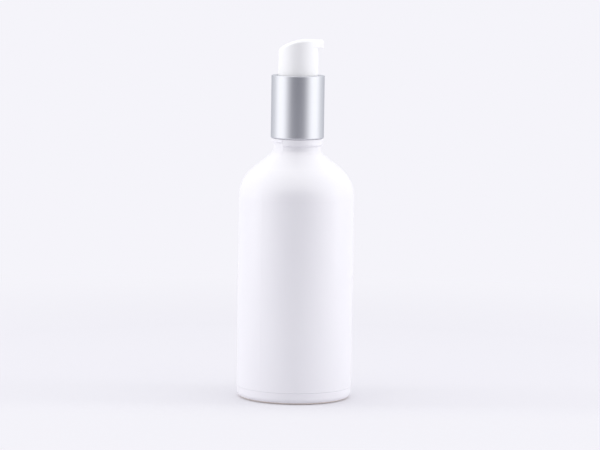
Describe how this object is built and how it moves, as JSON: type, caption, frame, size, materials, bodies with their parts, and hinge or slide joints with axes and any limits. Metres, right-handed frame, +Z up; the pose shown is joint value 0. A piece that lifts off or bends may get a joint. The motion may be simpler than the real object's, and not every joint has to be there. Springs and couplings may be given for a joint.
{
  "type": "pump oil bottle",
  "caption": "White glass bottle with a rounded shoulder and a screw-on treatment pump: silver collar, press head with a short spout, dip tube; dispenses massage oil.",
  "frame": {"origin": "centre of the base, on the plane the bottle stands on", "axes": "+Z up along the axis of the bottle and the pump; the spout points along +X"},
  "size_m": [0.047, 0.047, 0.1461],
  "materials": {
    "opal_glass": "satin white",
    "satin_aluminium": "satin anodised",
    "white_plastic": "fine satin",
    "natural_plastic": "unpigmented",
    "soft_plastic": "waxy",
    "tube_plastic": "clear, waxy",
    "gasket_foam": "closed-cell foam",
    "spring_steel": "drawn wire",
    "ball_steel": "polished"
  },
  "bodies": {
    "bottle": {"bottle": "opal_glass"},
    "gasket": {"neck_gasket": "gasket_foam"},
    "pump": {"pump_housing": "natural_plastic", "stem_guide": "natural_plastic", "dip_tube": "tube_plastic", "return_spring": "spring_steel"},
    "closure": {"closure_cap": "white_plastic", "collar_sleeve": "satin_aluminium"},
    "stem": {"stem": "natural_plastic", "stem_plug": "natural_plastic"},
    "piston": {"piston": "soft_plastic"},
    "ball": {"inlet_ball": "ball_steel"},
    "head": {"pump_head": "white_plastic"}
  },
  "joints": [
    {"name": "pump_lift", "type": "slide", "parent": "bottle", "child": "gasket", "axis": [0, 0, 1], "range_m": [0, 0.1145]},
    {"name": "thread_rise", "type": "slide", "parent": "gasket", "child": "pump", "axis": [0, 0, 1], "range_m": [0, 0.0045]},
    {"name": "closure_turn", "type": "hinge", "parent": "pump", "child": "closure", "pos_m": [0, 0, 0.11], "axis": [0, 0, 1], "range_deg": [0, 540]},
    {"name": "head_press", "type": "slide", "parent": "pump", "child": "stem", "axis": [0, 0, -1], "range_m": [0, 0.006], "stiffness_N_per_m": 1500, "springref_m": -0.004, "deforming": ["return_spring"]},
    {"name": "head_turn", "type": "hinge", "parent": "stem", "child": "head", "pos_m": [0, 0, 0.1337], "axis": [0, 0, 1], "continuous": true},
    {"name": "piston_lag", "type": "slide", "parent": "stem", "child": "piston", "axis": [0, 0, 1], "range_m": [0, 0.0008]},
    {"name": "ball_lift", "type": "slide", "parent": "pump", "child": "ball", "axis": [0, 0, 1], "range_m": [0, 0.001]}
  ],
  "couplings": [
    {"joint": "thread_rise", "follows": "closure_turn", "m_per_rad": 0.00047746}
  ]
}
